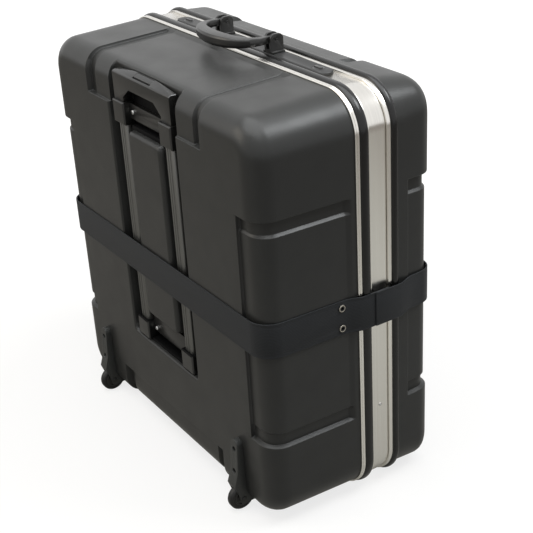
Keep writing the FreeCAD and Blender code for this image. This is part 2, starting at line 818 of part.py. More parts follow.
grip = grip.cut(above_slope(0))
grip_brow = [e for e in grip.Edges if min(v.Z for v in e.Vertexes) > grip_bottom + grip_height / 2]
grip = grip.makeChamfer(grip_edge, grip_brow)
grip = grip.cut(prism([
    V(-grip_window_bottom_width / 2, grip_front - overrun, grip_bottom - overrun),
    V(grip_window_bottom_width / 2, grip_front - overrun, grip_bottom - overrun),
    V(grip_window_bottom_width / 2, grip_front - overrun, grip_bottom + grip_window_side),
    V(grip_window_top_width / 2, grip_front - overrun, grip_bottom + grip_window_height),
    V(-grip_window_top_width / 2, grip_front - overrun, grip_bottom + grip_window_height),
    V(-grip_window_bottom_width / 2, grip_front - overrun, grip_bottom + grip_window_side)],
    Y_AXIS * (grip_depth + 2 * overrun)))
button_low = crown - button_height
slot_back = button_middle - button_depth / 2
button_well = box(V(-button_length / 2 - button_gap, slot_back - button_gap,
                    button_low - button_travel - button_gap),
                  V(button_length / 2 + button_gap, slot_back + button_depth + button_gap, crown + overrun))
finger_hollow = box(V(-button_length / 2 - button_gap, slot_back - finger_slot, grip_top - finger_slot_depth),
                    V(button_length / 2 + button_gap, slot_back, crown + overrun))
bar_low = button_low - rod_bar_height
bar_room = box(
    V(-tube_spacing / 2 - rod_diameter, grip_middle - rod_diameter / 2 - button_gap,
      bar_low - button_travel - button_gap),
    V(tube_spacing / 2 + rod_diameter, grip_middle + rod_diameter / 2 + button_gap, button_low + button_gap))
grip = cut_all(grip, [button_well, finger_hollow, bar_room])
for side in SIDES:
    tube_x = side * tube_spacing / 2
    grip = grip.cut(rounded_bar(inner_width, inner_depth, inner_round, tube_x, inner_front,
                                grip_bottom - overrun, grip_bottom + socket_depth))
    grip = grip.cut(rod(V(tube_x, grip_middle, grip_bottom), Z_AXIS, bar_low - grip_bottom,
                        rod_diameter + 2 * button_gap))
save("trolley_grip", grip.removeSplitter())
button = box(V(-button_length / 2, slot_back, button_low),
             V(button_length / 2, slot_back + button_depth, crown + overrun)).cut(above_slope(button_proud))
button_brow = [e for e in button.Edges if all(v.Z > button_low + button_gap for v in e.Vertexes)]
button = button.makeFillet(button_round, button_brow)
save("grip_button", button)
rods = box(V(-tube_spacing / 2 - rod_diameter / 2, grip_middle - rod_diameter / 2, bar_low),
           V(tube_spacing / 2 + rod_diameter / 2, grip_middle + rod_diameter / 2, button_low))
for side in SIDES:
    foot = V(side * tube_spacing / 2, grip_middle, tube_low + rod_foot)
    rods = rods.fuse(rod(foot, Z_AXIS, bar_low - foot.z + rod_bar_height / 2, rod_diameter))
save("release_rods", rods.removeSplitter())

# Wheels in forks screwed to the face of the base
wheel_height = wheel_diameter / 2
fork_width = wheel_width + 2 * (wheel_gap + fork_wall)
fork_screws = []
for side, name in zip(SIDES, ("left", "right")):
    wheel_x = side * wheel_spacing / 2
    low_x = wheel_x - fork_width / 2
    fork = prism([V(low_x, face + edge_round, fork_toe_height),
                  V(low_x, axle_y - axle_head / 2, fork_toe_height),
                  V(low_x, axle_y - axle_head, wheel_height + axle_head),
                  V(low_x, face - fork_brow_proud, fork_brow_height),
                  V(low_x, face - fork_waist_proud, fork_waist_height),
                  V(low_x, face - fork_top_proud, fork_top_height),
                  V(low_x, face + edge_round, fork_top_height)], X_AXIS * fork_width)
    arch_height = fork_top_height - fork_top_width / 2
    arch_start = face - wheel_diameter
    arch = prism([V(low_x, arch_start, -overrun), V(low_x + fork_width, arch_start, -overrun),
                  V(low_x + fork_width, arch_start, fork_brow_height),
                  V(wheel_x + fork_top_width / 2, arch_start, arch_height),
                  V(wheel_x - fork_top_width / 2, arch_start, arch_height),
                  V(low_x, arch_start, fork_brow_height)], Y_AXIS * (wheel_diameter + 2 * edge_round))
    arch = arch.fuse(rod(V(wheel_x, arch_start, arch_height), Y_AXIS, 2 * wheel_diameter, fork_top_width))
    fork = fork.common(arch).cut(base_blank)
    slot_width = wheel_width + 2 * wheel_gap
    slot_start = V(wheel_x - slot_width / 2, axle_y, wheel_height)
    fork = fork.cut(Part.makeCylinder(wheel_height + wheel_well_gap, slot_width, slot_start, X_AXIS))
    fork = fork.cut(box(V(wheel_x - slot_width / 2, face - 2 * wheel_diameter, -overrun),
                        V(wheel_x + slot_width / 2, face + 2 * edge_round, wheel_height)))
    axle_start = V(low_x - axle_head_height, axle_y, wheel_height)
    axle = rod(axle_start.add(X_AXIS * axle_head_height), X_AXIS, fork_width, axle_diameter)
    fork = fork.cut(axle)
    far_end = axle_start.add(X_AXIS * (fork_width + axle_head_height))
    heads = [rod(axle_start, X_AXIS, axle_head_height, axle_head),
             rod(far_end, X_AXIS, axle_head_height, axle_head)]
    for height in fork_screw_heights:
        share = (height - fork_waist_height) / (fork_top_height - fork_waist_height)
        proud = fork_waist_proud + (fork_top_proud - fork_waist_proud) * share
        seat = V(wheel_x, face - proud + fork_screw_sink, height)
        fork = fork.cut(rod(seat.sub(Y_AXIS * wheel_diameter), Y_AXIS, wheel_diameter, fork_screw_bore))
        shank = rod(seat, Y_AXIS, face - seat.y, fork_screw_shank)
        fork = fork.cut(shank)
        cap = rod(seat.sub(Y_AXIS * (fork_screw_sink / 2)), Y_AXIS, fork_screw_sink / 2,
                  fork_screw_bore - fork_edge)
        fork_screws.append(cap.fuse(shank).removeSplitter())
    save("wheel_fork_" + name, fork.removeSplitter())
    save("axle_" + name, axle.fuse(heads[0]).fuse(heads[1]).removeSplitter())
    wheel_start = V(wheel_x - wheel_width / 2, axle_y, wheel_height)
    hub = rod(wheel_start, X_AXIS, wheel_width, hub_diameter)
    tyre = rod(wheel_start, X_AXIS, wheel_width, wheel_diameter)
    tyre = tyre.makeChamfer(tyre_edge, tyre.Edges).cut(hub)
    for end in SIDES:
        dish = rod(V(wheel_x + end * wheel_width / 2, axle_y, wheel_height), X_AXIS * -end, hub_dish,
                   hub_diameter - 2 * hub_dish)
        boss = rod(V(wheel_x + end * wheel_width / 2, axle_y, wheel_height), X_AXIS * -end, hub_dish,
                   axle_diameter + 2 * hub_dish)
        hub = hub.cut(dish.cut(boss))
    hub = hub.cut(rod(wheel_start, X_AXIS, wheel_width, axle_diameter + 2 * axle_gap))
    save("wheel_hub_" + name, hub)
    save("tyre_" + name, tyre)
save("fork_screws", *fork_screws)


def strap(points_and_bends):
    """Webbing of the strap's section, swept along a level route of runs and tangent bends."""
    edges = []
    current = points_and_bends[0][0]
    last = len(points_and_bends) - 1
    for index in range(1, last + 1):
        corner, bend = points_and_bends[index]
        if not bend:
            edges.append(Part.makeLine(current, corner))
            current = corner
            continue
        following = points_and_bends[index + 1][0]
        back_way = points_and_bends[index - 1][0].sub(corner).normalize()
        next_way = following.sub(corner).normalize()
        opening = back_way.getAngle(next_way) / 2
        reach = bend / math.tan(opening)
        bisector = back_way.add(next_way).normalize()
        start = corner.add(back_way * reach)
        end = corner.add(next_way * reach)
        edges.append(Part.makeLine(current, start))
        middle = corner.add(bisector * (bend / math.sin(opening) - bend))
        edges.append(Part.Arc(start, middle, end).toShape())
        current = end
    path = Part.Wire(edges)
    begin = points_and_bends[0][0]
    ahead = points_and_bends[1][0].sub(begin).normalize()
    sideways = ahead.cross(Z_AXIS).normalize() * (strap_thickness / 2)
    upright = Z_AXIS * (strap_width / 2)
    corners = [begin.add(sideways).add(upright), begin.sub(sideways).add(upright),
               begin.sub(sideways).sub(upright), begin.add(sideways).sub(upright)]
    section = Part.makePolygon(corners + [corners[0]])
    return path.makePipeShell([section], True, False, 1)


def both_ways(half_route):
    """Whole route of a strap from the half of it on the right side."""
    left = [(V(-point.x, point.y, point.z), bend) for point, bend in half_route]
    return left + list(reversed(half_route))


# Strap: one length riveted to the base, one on the lid whose ends lap over the first
stand_off = strap_gap + strap_thickness / 2
bumper_side = ring_width / 2 + bumper_proud + stand_off
strap_end = seam - strap_end_gap
landing = base_mouth - strap_lift
base_lip = base_mouth - base_side_lip
strap_face = face - stand_off
corner_x = base.side(ring_width, face) - band_sink + stand_off
landing_x = base.side(ring_width, landing) - band_sink + stand_off
base_route = [
    (V(bumper_side, strap_end, strap_height), 0),
    (V(bumper_side, base_mouth, strap_height), 0),
    (V(base.side(ring_width, base_lip) + stand_off, base_lip, strap_height), 0),
    (V(landing_x, landing, strap_height), 0),
    (V(corner_x, strap_face, strap_height), edge_round),
]
strap_base = strap(both_ways(base_route))
save("strap_base", cut_all(strap_base, rivet_holes()))
lap_side = bumper_side + strap_thickness + strap_gap
lid_lip = lid_mouth + lid_band_lip
lid_corner_x = lid.side(ring_width, back) - band_sink + stand_off
lid_route = [
    (V(lap_side, seam - lap_length, strap_height), 0),
    (V(lap_side, ring_end, strap_height), 0),
    (V(lid.side(ring_width, lid_lip) + stand_off, lid_lip, strap_height), 0),
    (V(lid_corner_x, back + stand_off, strap_height), lid_edge_round),
]
save("strap_lid", strap(both_ways(lid_route)))
strap_rivets = []
for side in SIDES:
    for level in SIDES:
        stand = strap_gap + strap_thickness + draft * rivet_head / 2
        seat = V(side * (side_level + stand), rivet_y, strap_height + level * strap_rivet_spacing / 2)
        way = X_AXIS * side
        reach = stand + shell_wall
        head = rod(seat, way, rivet_head_height, rivet_head)
        shank = rod(seat.sub(way * reach), way, reach, rivet_shank)
        bore = rod(seat.sub(way * (reach + overrun)), way, reach + 2 * overrun, rivet_bore)
        strap_rivets.append(head.fuse(shank).cut(bore).removeSplitter())
save("strap_rivets", *strap_rivets)
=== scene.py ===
import bpy
import math
import numpy as np
from mathutils import Matrix, Vector


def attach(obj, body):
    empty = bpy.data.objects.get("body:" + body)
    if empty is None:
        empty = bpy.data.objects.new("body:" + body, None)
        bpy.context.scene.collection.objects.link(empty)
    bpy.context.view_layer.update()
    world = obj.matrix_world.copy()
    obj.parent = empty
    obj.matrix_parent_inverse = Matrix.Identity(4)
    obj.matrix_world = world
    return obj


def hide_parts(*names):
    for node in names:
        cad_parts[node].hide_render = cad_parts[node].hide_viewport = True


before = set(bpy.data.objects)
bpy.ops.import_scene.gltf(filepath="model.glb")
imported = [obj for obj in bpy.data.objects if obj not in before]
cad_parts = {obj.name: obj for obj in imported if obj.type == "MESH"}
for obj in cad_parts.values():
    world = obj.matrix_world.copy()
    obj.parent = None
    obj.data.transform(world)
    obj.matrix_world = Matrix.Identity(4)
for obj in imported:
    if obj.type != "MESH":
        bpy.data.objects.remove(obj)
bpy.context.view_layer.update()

# Shell of the base: one sheet of grained dark grey ABS, 3 mm thick, drawn over a mould that gives it sunken
# bands with deeper grooves along their edges, the trolley pocket with its raised panel, and two wheel wells.
# Its rim is pushed into the slot of the aluminium frame. Lengths are in millimetres; mm makes them metres.
mm = 0.001
sheet_thickness = 3.0
ring_middle = 342.5
mouth_half_width = 324.5
mouth_half_height = 336.5
mouth_corner = 60.5
draft = math.tan(math.radians(1.9))
base_mouth = 24.65
base_face = -145.35
base_edge_round = 36.0
side_band_width = 376
top_band_width = 360
bottom_band_width = 342
groove_width = 23.0
groove_depth = 7.5
end_groove_depth = 4.5
end_groove_extra_at_face = 6.0
band_depth = 2.5
band_extra_at_face = 2.5
base_side_lip = 16
base_end_lip = 10
base_side_band_reach = 264.5
base_top_band_reach = 262
base_bottom_band_reach = 265


def moulded_step(depth, brow, foot, lean):
    """Section of a moulded step as distances and depths: round brow, leaning wall, round foot."""
    round_points = 5
    flat = 0.5
    steep = math.radians(90 - lean)
    steep = min(steep, math.acos(max(-1.0, 1 - depth / (brow + foot))))
    run = (depth - (brow + foot) * (1 - math.cos(steep))) / math.tan(steep)
    whole = (brow + foot) * math.sin(steep) + run
    turns = np.linspace(0, steep, round_points)
    back = turns[::-1]
    distance = np.concatenate([[-flat], brow * np.sin(turns), whole - foot * np.sin(back), [whole + flat]])
    sunk = np.concatenate([[0], brow * (1 - np.cos(turns)), depth - foot * (1 - np.cos(back)), [depth]])
    return distance - whole / 2, sunk


side_walls = {"groove": moulded_step(groove_depth, brow=1.8, foot=0.8, lean=12),
              "ridge": moulded_step(groove_depth - band_depth, brow=1.2, foot=0.8, lean=35),
              "depth": groove_depth, "extra_at_face": 0}
end_walls = {"groove": moulded_step(groove_depth, brow=0.9, foot=0.6, lean=4),
             "ridge": moulded_step(groove_depth - band_depth, brow=0.7, foot=0.6, lean=12),
             "depth": end_groove_depth, "extra_at_face": end_groove_extra_at_face}
base_run_out = moulded_step(groove_depth, brow=5.0, foot=4.0, lean=48)
band_end_wall = moulded_step(band_depth, brow=1.0, foot=0.8, lean=6)


def grid_lines(reach, marks, widest):
    """Lines of a mesh from one side to the other, through the marks and never further apart than asked."""
    clear_of_ends = 0.4
    closest = 0.35
    inside = [mark for mark in sorted(marks) if abs(mark) < reach - clear_of_ends]
    lines = [-reach]
    for mark in inside + [reach]:
        if mark - lines[-1] < closest:
            continue
        parts = math.ceil((mark - lines[-1]) / widest)
        lines.extend(np.linspace(lines[-1], mark, parts + 1)[1:])
    return np.array(lines)


def round_distance(across, along, corner):
    """Distance inside two edges whose corner is rounded."""
    plain = np.minimum(across, along)
    near = corner - np.hypot(corner - across, corner - along)
    return np.where((across < corner) & (along < corner), near, plain)


def both_signs(*sets):
    """Marks on both sides of the middle."""
    marks = np.concatenate(sets)
    return np.concatenate([marks, -marks])


def band_marks(width, walls):
    """Where the lines of a mesh have to run across a band, so that its walls come out sharp."""
    return np.concatenate([width / 2 - walls["groove"][0], width / 2 - groove_width + walls["ridge"][0]])


def sunken_band(band, run_out, place, facing):
    """How deep a band and its two grooves lie; both lie deeper where the sheet faces forward or back."""
    walls = band["walls"]
    x, depth, z = place.T
    outward, across = (x, z) if band["axis"] == "x" else (z, x)
    inside = band["width"] / 2 - np.abs(across)
    groove = walls["depth"] + walls["extra_at_face"] * facing
    middle = band_depth + band_extra_at_face * facing
    in_groove = np.interp(inside, *walls["groove"]) / groove_depth
    in_middle = 1 - np.interp(groove_width - inside, *walls["ridge"]) / (groove_depth - band_depth)
    sunk = groove * in_groove - (groove - middle) * in_middle
    sunk *= np.interp(depth - band["lip"], *run_out) / groove_depth
    past_end = outward * band["sign"] - band["reach"]
    return np.maximum(sunk, 0) * np.interp(past_end, *band_end_wall) / band_depth


def sheet_rows(depth, edge_round, bands, run_out):
    """Rows of a shell from its mouth to its flat face, as inset, depth and lean of the normal."""
    side_grid = 9.0
    border_grid = 5.0
    bend_points = 13
    clear_of_grid = 0.01
    turn = math.atan(draft)
    bend_inset = draft * (depth - edge_round) + edge_round / math.cos(turn)
    side_end = depth - edge_round + edge_round * math.sin(turn)
    lip_marks = sorted({band["lip"] + d for band in bands for d in run_out[0]})
    rows = []
    for d in side_end / 2 + grid_lines(side_end / 2, [m - side_end / 2 for m in lip_marks], side_grid):
        rows.append((draft * d, d, turn))
    for bend in np.linspace(turn, math.pi / 2, bend_points)[1:]:
        rows.append((bend_inset - edge_round * math.cos(bend),
                     depth - edge_round + edge_round * math.sin(bend), bend))
    reach_marks = sorted({mouth_half_width - band["reach"] - d for band in bands if band["axis"] == "x"
                          for d in band_end_wall[0]})
    half = (mouth_corner - bend_inset) / 2
    for e in half + grid_lines(half, [m - bend_inset - half for m in reach_marks], border_grid):
        if 0 < e < 2 * half - clear_of_grid:
            rows.append((bend_inset + e, depth, math.pi / 2))
    return rows


def sheet_stations(columns, levels):
    """Stations round a shell as column, level and outward direction, with a fan at each corner."""
    fan_points = 13
    fan = np.linspace(0, math.pi / 2, fan_points)[1:-1]
    right = columns - 1
    top = levels - 1
    sides = ([(right, j) for j in range(levels)], [(i, top) for i in range(right, -1, -1)],
             [(0, j) for j in range(top, -1, -1)], [(i, 0) for i in range(columns)])
    outward = ((1, 0), (0, 1), (-1, 0), (0, -1))
    stations = []
    for number, side in enumerate(sides):
        (ux, uz), (vx, vz) = outward[number], outward[(number + 1) % 4]
        stations += [(i, j, ux, uz) for i, j in side]
        for a in fan:
            stations.append((*side[-1], ux * math.cos(a) + vx * math.sin(a),
                             uz * math.cos(a) + vz * math.sin(a)))
    return stations


def select_only(piece):
    """Make a piece the active one and the only one that operators act on."""
    bpy.ops.object.select_all(action="DESELECT")
    bpy.context.view_layer.objects.active = piece
    piece.select_set(True)


def drawn_sheet(name, mouth, closed_face, edge_round, bands, run_out, x_marks, z_marks, press):
    """One drawn shell: drafted sides, round edge, flat closed face, bands sunk in along its normals."""
    face_grid = 13.0
    smooth_below = 60
    depth = abs(closed_face - mouth)
    way = math.copysign(1, closed_face - mouth)
    xs = grid_lines(mouth_half_width - mouth_corner, x_marks, face_grid)
    zs = grid_lines(mouth_half_height - mouth_corner, z_marks, face_grid)
    rows = sheet_rows(depth, edge_round, bands, run_out)
    stations = sheet_stations(len(xs), len(zs))

    place = []
    normal = []
    for inset, d, bend in rows:
        for i, j, nx, nz in stations:
            place.append((xs[i] + nx * (mouth_corner - inset), d, zs[j] + nz * (mouth_corner - inset)))
            normal.append((nx * math.cos(bend), math.sin(bend), nz * math.cos(bend)))
    for x in xs:
        for z in zs:
            place.append((x, depth, z))
            normal.append((0, 1, 0))
    place = np.array(place)
    normal = np.array(normal)
    facing = normal[:, 1] ** 2
    sunk = np.zeros(len(place))
    for band in bands:
        sunk += sunken_band(band, run_out, place, facing)
    place = place - normal * sunk[:, None]
    points = np.column_stack([place[:, 0], mouth + way * place[:, 1], ring_middle + place[:, 2]])
    points = press(points)

    count = len(stations)
    face_start = len(rows) * count
    faces = []
    for r in range(len(rows)):
        for s in range(count):
            t = (s + 1) % count
            if r + 1 < len(rows):
                far = [(r + 1) * count + t, (r + 1) * count + s]
            else:
                far = [face_start + stations[k][0] * len(zs) + stations[k][1] for k in (t, s)]
            corners = [r * count + s, r * count + t] + far
            if corners[2] == corners[3]:
                corners.pop()
            faces.append(corners[::int(-way)])
    for i in range(len(xs) - 1):
        for j in range(len(zs) - 1):
            a = face_start + i * len(zs) + j
            corners = [a, a + len(zs), a + len(zs) + 1, a + 1]
            faces.append(corners[::int(-way)])
    mesh = bpy.data.meshes.new(name)
    mesh.from_pydata((points * mm).tolist(), [], faces)
    shell = bpy.data.objects.new(name, mesh)
    bpy.context.collection.objects.link(shell)
    select_only(shell)
    bpy.ops.object.mode_set(mode="EDIT")
    bpy.ops.mesh.select_all(action="SELECT")
    bpy.ops.mesh.normals_make_consistent(inside=False)
    bpy.ops.object.mode_set(mode="OBJECT")
    wall = shell.modifiers.new("wall", "SOLIDIFY")
    wall.thickness = sheet_thickness * mm
    wall.offset = -1
    bpy.ops.object.modifier_apply(modifier=wall.name)
    bpy.ops.object.shade_smooth_by_angle(angle=math.radians(smooth_below))
    return shell


pocket_depth = 22.0
pocket_half_width = 107
pocket_bottom = 181
pocket_corner = 10
panel_sink = 1.0
panel_half_width = 50.5
panel_bottom = 240
panel_top = 569
panel_corner = 8
wheel_station = 227
axle_depth = -150.35
axle_height = 23
well_radius = 27
well_half_width = 7.9
well_brow = 0.7
pocket_wall = moulded_step(pocket_depth, brow=4.0, foot=3.0, lean=6)
panel_wall = moulded_step(pocket_depth - panel_sink, brow=7.0, foot=3.0, lean=4)


def press_trolley_side(points):
    """Press the trolley pocket, its panel and the wheel wells into the face of the base."""
    x, y, z = points.T
    inside = round_distance(pocket_half_width - np.abs(x), z - pocket_bottom, pocket_corner)
    pocket = np.interp(inside, *pocket_wall)
    panel_inside = round_distance(panel_half_width - np.abs(x),
                                  np.minimum(z - panel_bottom, panel_top - z), panel_corner)
    panel = panel_sink + np.interp(-panel_inside, *panel_wall)
    y = np.where(pocket > 0, np.maximum(y, base_face + np.minimum(pocket, panel)), y)
    beside = np.abs(np.abs(x) - wheel_station)
    well = np.sqrt(np.maximum(well_radius ** 2 - (z - axle_height) ** 2, 0))
    y = np.where((beside < well_half_width) & (well > 0), np.maximum(y, axle_depth + well), y)
    return np.column_stack([x, y, z])


base_bands = [dict(axis="x", sign=sign, width=side_band_width, lip=base_side_lip,
                   reach=base_side_band_reach, walls=side_walls) for sign in (1, -1)]
base_bands.append(dict(axis="z", sign=1, width=top_band_width, lip=base_end_lip,
                       reach=base_top_band_reach, walls=end_walls))
base_bands.append(dict(axis="z", sign=-1, width=bottom_band_width, lip=base_end_lip,
                       reach=base_bottom_band_reach, walls=end_walls))
well_walls = np.array([-well_half_width - well_brow, -well_half_width,
                       well_half_width, well_half_width + well_brow])
base_x_marks = both_signs(band_marks(top_band_width, end_walls), band_marks(bottom_band_width, end_walls),
                          pocket_half_width - pocket_wall[0], panel_half_width + panel_wall[0],
                          wheel_station + well_walls)
base_z_marks = np.concatenate([
    both_signs(band_marks(side_band_width, side_walls)),
    base_top_band_reach + band_end_wall[0], -base_bottom_band_reach - band_end_wall[0],
    pocket_bottom - ring_middle + pocket_wall[0],
    panel_bottom - ring_middle - panel_wall[0], panel_top - ring_middle + panel_wall[0]])
base_shell = drawn_sheet("base_shell_moulding", base_mouth, base_face, base_edge_round, base_bands,
                         base_run_out, base_x_marks, base_z_marks, press_trolley_side)


def set_inputs(tree, node, inputs):
    """Set a node's inputs: a socket of another node is linked, a plain value goes on the input itself."""
    for name, value in inputs.items():
        if isinstance(value, bpy.types.NodeSocket):
            tree.links.new(value, node.inputs[name])
        else:
            node.inputs[name].default_value = value


def add_node(tree, kind, inputs, **settings):
    """Add a shader node, its settings first, because they decide which inputs it has."""
    node = tree.nodes.new("ShaderNode" + kind)
    for setting, value in settings.items():
        setattr(node, setting, value)
    set_inputs(tree, node, inputs)
    return node


def colour_ramp(tree, share, *stops):
    """Colours at places between 0 and 1, the first and the last on the two stops that a new ramp has."""
    ramp = add_node(tree, "ValToRGB", {"Fac": share})
    elements = ramp.color_ramp.elements
    for element, (position, colour) in zip(elements, (stops[0], stops[-1])):
        element.position = position
        element.color = (*colour, 1)
    for position, colour in stops[1:-1]:
        elements.new(position).color = (*colour, 1)
    return ramp.outputs["Color"]


def new_finish(name):
    """A new material with its node tree, its shader and the coordinates of the piece."""
    finish = bpy.data.materials.new(name)
    finish.use_nodes = True
    tree = finish.node_tree
    return finish, tree, tree.nodes["Principled BSDF"], add_node(tree, "TexCoord", {}).outputs["Object"]


def moulded_plastic(name, colour, roughness, specular, grain, relief):
    """Plastic that carries the fine grain of its mould; the grain's size and relief are in metres."""
    cloud_scale = 22
    darker, lighter = 0.92, 1.08
    gloss_swing = 0.03
    low, high = 0.3, 0.7
    finish, tree, shader, place = new_finish(name)
    pebbles = add_node(tree, "TexVoronoi", {"Scale": 1 / grain, "Vector": place})
    clouds = add_node(tree, "TexNoise", {"Scale": cloud_scale, "Detail": 5, "Vector": place}).outputs["Fac"]
    gloss = add_node(tree, "MapRange", {
        "Value": clouds, "From Min": low, "From Max": high,
        "To Min": roughness + gloss_swing, "To Max": roughness - gloss_swing})
    bump = add_node(tree, "Bump", {
        "Strength": 0.5, "Distance": relief, "Height": pebbles.outputs["Distance"]})
    set_inputs(tree, shader, {
        "Base Color": colour_ramp(tree, clouds, (low, [c * darker for c in colour]),
                                  (high, [c * lighter for c in colour])),
        "Roughness": gloss.outputs["Result"], "Specular IOR Level": specular,
        "Normal": bump.outputs["Normal"]})
    return finish


shell_plastic = moulded_plastic("grained_abs", (0.029, 0.0295, 0.0285), roughness=0.34, specular=0.33,
                                grain=0.0016, relief=0.00012)
base_shell.data.materials.append(shell_plastic)
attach(base_shell, "base")
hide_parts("base_shell")

# Shell of the lid: the same grained ABS, drawn less deep, with the same sunken bands and a plain back.
# Its rim is pushed into the slot of the lid's frame.
lid_mouth = 92.55
lid_face = 171.05
lid_edge_round = 28.0
lid_lip = 27
lid_band_reach = 276
lid_reach_mark = 275.9
lid_run_out = moulded_step(groove_depth, brow=1.6, foot=1.6, lean=10)
squaring_start = 100
squaring_run = 70
squaring_power = 0.6
corner_from_x = mouth_half_width - mouth_corner
corner_from_z = mouth_half_height - mouth_corner
top_fall = 5
top_height = 336


def ease_lid(points):
    """Square the corners towards the back and let the top fall a little."""
    least = 0.001
    x, y, z = points.T
    share = np.clip((y - squaring_start) / squaring_run, 0, 1)
    out_x = np.maximum(np.abs(x) - corner_from_x, 0)
    out_z = np.maximum(np.abs(z - ring_middle) - corner_from_z, 0)
    power = 2 + squaring_power * share
    whole = (out_x ** power + out_z ** power) ** (1 / power)
    grow = np.hypot(out_x, out_z) / np.maximum(whole, least) - 1
    x = x + np.sign(x) * out_x * grow
    z = z + np.sign(z - ring_middle) * out_z * grow
    z = z - top_fall * share * np.clip((z - ring_middle) / top_height, 0, 1) ** 3
    return np.column_stack([x, y, z])


lid_bands = [dict(axis=axis, sign=sign, width=width, lip=lid_lip, reach=lid_band_reach, walls=side_walls)
             for axis, sign, width in (("x", 1, side_band_width), ("x", -1, side_band_width),
                                       ("z", 1, top_band_width), ("z", -1, bottom_band_width))]
lid_x_marks = both_signs(band_marks(top_band_width, side_walls), band_marks(bottom_band_width, side_walls))
lid_z_marks = np.concatenate([both_signs(band_marks(side_band_width, side_walls)),
                              lid_reach_mark + band_end_wall[0], -lid_reach_mark - band_end_wall[0]])
lid_shell = drawn_sheet("lid_shell_moulding", lid_mouth, lid_face, lid_edge_round, lid_bands,
                        lid_run_out, lid_x_marks, lid_z_marks, ease_lid)
lid_shell.data.materials.append(shell_plastic)
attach(lid_shell, "lid")
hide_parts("lid_shell")

# Aluminium frames: extruded sections, bent round the corners of the case and brushed lengthwise. The base
# has a double bead, a rib and a wide channel; the lid has a narrow rim with a tongue that enters the base.
ring_half_width = 327.5
ring_half_height = 339.5
ring_corner = 63.5
corner_steps = 18
base_section = (
    (-2.85, 20.65), (-1.4, 20.65), (-0.4, 21.1), (0, 22.1), (0, 22.9), (-0.5, 23.9), (-1.2, 24.65),
    (-0.5, 25.4), (0, 26.4), (0, 27.2), (-0.4, 28.2), (-1.4, 28.65), (-4, 28.65), (-4, 43.65),
    (-0.5, 43.65), (-0.5, 45.85), (-4, 45.85), (-4, 76.7), (-4.8, 77.3), (-6, 77.3), (-6, 28.65),
    (-8.38, 26.65), (-8.38, 18.65), (-6.38, 18.65), (-6.38, 24.8), (-2.85, 24.8))
lid_section = (
    (-2.0, 78.2), (-1.3, 78.9), (-1.3, 97.55), (-2.85, 97.55), (-2.85, 92.4), (-6.38, 92.4),
    (-6.38, 99.55), (-8.38, 99.55), (-8.38, 71.65), (-6.3, 71.65), (-6.3, 78.2))


def round_edges(piece, edge, segments, angle):
    """Break the sharp edges of a piece and shade it smooth between what is left of them."""
    smooth_below = 32
    select_only(piece)
    if edge:
        bevel = piece.modifiers.new("edges", "BEVEL")
        bevel.width = edge * mm
        bevel.segments = segments
        bevel.limit_method = "ANGLE"
        bevel.angle_limit = math.radians(angle)
        bpy.ops.object.modifier_apply(modifier=bevel.name)
    bpy.ops.object.shade_smooth_by_angle(angle=math.radians(smooth_below))


def bent_section(name, section, edge=0, segments=1):
    """A section of (level on the ring, y) points, run up, round the four corners and back to its start."""
    bpy.ops.object.select_all(action="DESELECT")
    bpy.ops.mesh.primitive_circle_add(vertices=len(section))
    strip = bpy.context.object
    strip.name = name
    for vertex, (level, y) in zip(strip.data.vertices, section):
        vertex.co = Vector((ring_half_width + level, y, ring_middle)) * mm
    bpy.ops.object.mode_set(mode="EDIT")
    bpy.ops.mesh.select_all(action="SELECT")
    up = ring_half_height - ring_corner
    over = ring_half_width - ring_corner
    runs = ((0, up), (-2 * over, 0), (0, -2 * up), (2 * over, 0))
    corners = ((over, up), (-over, up), (-over, -up), (over, -up))
    for (dx, dz), (cx, cz) in zip(runs, corners):
        bpy.ops.mesh.extrude_region_move(TRANSFORM_OT_translate={"value": (dx * mm, 0, dz * mm)})
        bpy.ops.mesh.spin(steps=corner_steps, angle=math.pi / 2, axis=(0, 1, 0),
                          center=(cx * mm, 0, (ring_middle + cz) * mm))
    bpy.ops.mesh.extrude_region_move(TRANSFORM_OT_translate={"value": (0, 0, up * mm)})
    bpy.ops.mesh.select_all(action="SELECT")
    bpy.ops.mesh.remove_doubles(threshold=0.00002)
    bpy.ops.mesh.normals_make_consistent(inside=False)
    bpy.ops.object.mode_set(mode="OBJECT")
    round_edges(strip, edge, segments, angle=24)
    return strip


def brushed_metal(name, colour, roughness, streaks):
    """Metal with fine lines; streaks are how often they change along x, y and z, per metre."""
    darker, lighter = 0.92, 1.06
    gloss_swing = 0.06
    low, high = 0.3, 0.7
    finish, tree, shader, place = new_finish(name)
    stretch = add_node(tree, "Mapping", {"Scale": streaks, "Vector": place})
    lines = add_node(tree, "TexNoise", {
        "Scale": 1, "Detail": 4, "Vector": stretch.outputs["Vector"]}).outputs["Fac"]
    gloss = add_node(tree, "MapRange", {
        "Value": lines, "To Min": roughness + gloss_swing, "To Max": roughness - gloss_swing})
    set_inputs(tree, shader, {
        "Base Color": colour_ramp(tree, lines, (low, [c * darker for c in colour]),
                                  (high, [min(c * lighter, 1) for c in colour])),
        "Roughness": gloss.outputs["Result"], "Metallic": 1})
    return finish


frame_metal = brushed_metal("brushed_aluminium", (0.78, 0.76, 0.72), roughness=0.2, streaks=(4, 2600, 4))
base_frame = bent_section("base_frame_extrusion", base_section, edge=0.3, segments=2)
base_frame.data.materials.append(frame_metal)
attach(base_frame, "base")
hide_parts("base_frame")
lid_frame = bent_section("lid_frame_extrusion", lid_section, edge=0.25, segments=2)
lid_frame.data.materials.append(frame_metal)
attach(lid_frame, "lid")
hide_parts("lid_frame")

